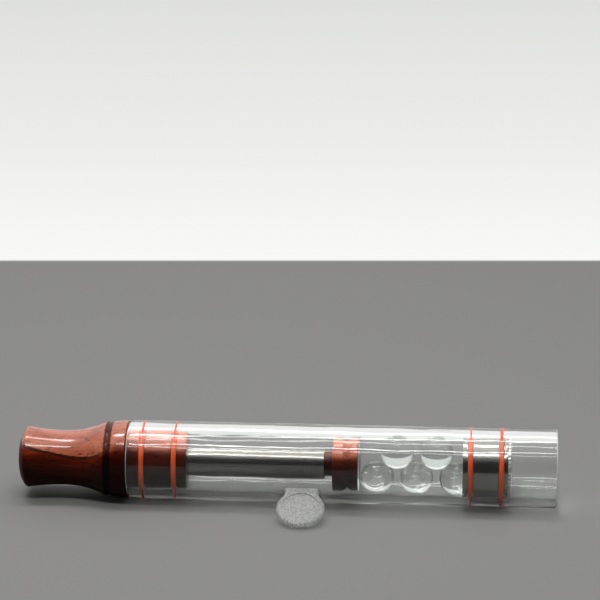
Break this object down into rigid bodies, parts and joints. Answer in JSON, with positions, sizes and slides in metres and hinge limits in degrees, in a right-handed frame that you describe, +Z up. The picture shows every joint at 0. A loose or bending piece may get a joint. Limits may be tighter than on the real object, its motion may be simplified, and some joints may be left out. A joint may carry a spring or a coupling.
{
  "type": "kaleidoscope",
  "caption": "Clear glass tube kaleidoscope: turned rosewood eyepiece on sealing rings, steel mirror tube, clear marbles in the cell, steel end plug and a pressed glass roll stop.",
  "frame": {"origin": "on the surface it lies on, under the middle of the whole object's bounding box", "axes": "+X along the tube from the eyepiece to the open end, +Z up, the roll stop towards -Y"},
  "size_m": [0.1704, 0.0382, 0.025],
  "materials": {
    "clear_glass": "clear, fire-polished ends",
    "pressed_glass": "clear, pressed and slightly wavy",
    "lens_glass": "polished",
    "marble_glass": "clear with a faint green tint",
    "frosted_glass": "frosted",
    "rosewood": "oiled, semi-gloss",
    "silicone": "satin orange-red",
    "polished_steel": "polished",
    "milled_steel": "machined",
    "brass": "turned",
    "mirror": "silvered glass"
  },
  "bodies": {
    "tube": {"glass_tube": "clear_glass", "roll_stop": "pressed_glass"},
    "eyepiece_rings": {"eyepiece_ring_1": "silicone", "eyepiece_ring_2": "silicone"},
    "eyepiece": {"eyepiece": "rosewood", "eye_lens": "lens_glass", "lens_spacer": "brass", "mirror_tube": "polished_steel", "mirror_1": "mirror", "mirror_2": "mirror", "mirror_3": "mirror", "front_bush": "rosewood", "cell_window": "lens_glass"},
    "marbles": {"marble_1": "marble_glass", "marble_2": "marble_glass", "marble_3": "marble_glass", "marble_4": "marble_glass", "marble_5": "marble_glass"},
    "plug_rings": {"plug_ring_1": "silicone", "plug_ring_2": "silicone"},
    "end_plug": {"end_plug": "polished_steel", "diffuser": "frosted_glass", "retaining_ring": "milled_steel"}
  },
  "joints": [
    {"name": "eyepiece_pull", "type": "slide", "parent": "tube", "child": "eyepiece_rings", "axis": [-1, 0, 0], "range_m": [0, 0.078]},
    {"name": "eyepiece_turn", "type": "hinge", "parent": "eyepiece_rings", "child": "eyepiece", "pos_m": [0, 0.00664, 0.0125], "axis": [1, 0, 0], "continuous": true},
    {"name": "marbles_roll", "type": "hinge", "parent": "tube", "child": "marbles", "pos_m": [0, 0.00664, 0.0125], "axis": [1, 0, 0], "continuous": true},
    {"name": "plug_pull", "type": "slide", "parent": "tube", "child": "plug_rings", "axis": [1, 0, 0], "range_m": [0, 0.032]},
    {"name": "plug_turn", "type": "hinge", "parent": "plug_rings", "child": "end_plug", "pos_m": [0, 0.00664, 0.0125], "axis": [1, 0, 0], "continuous": true}
  ]
}
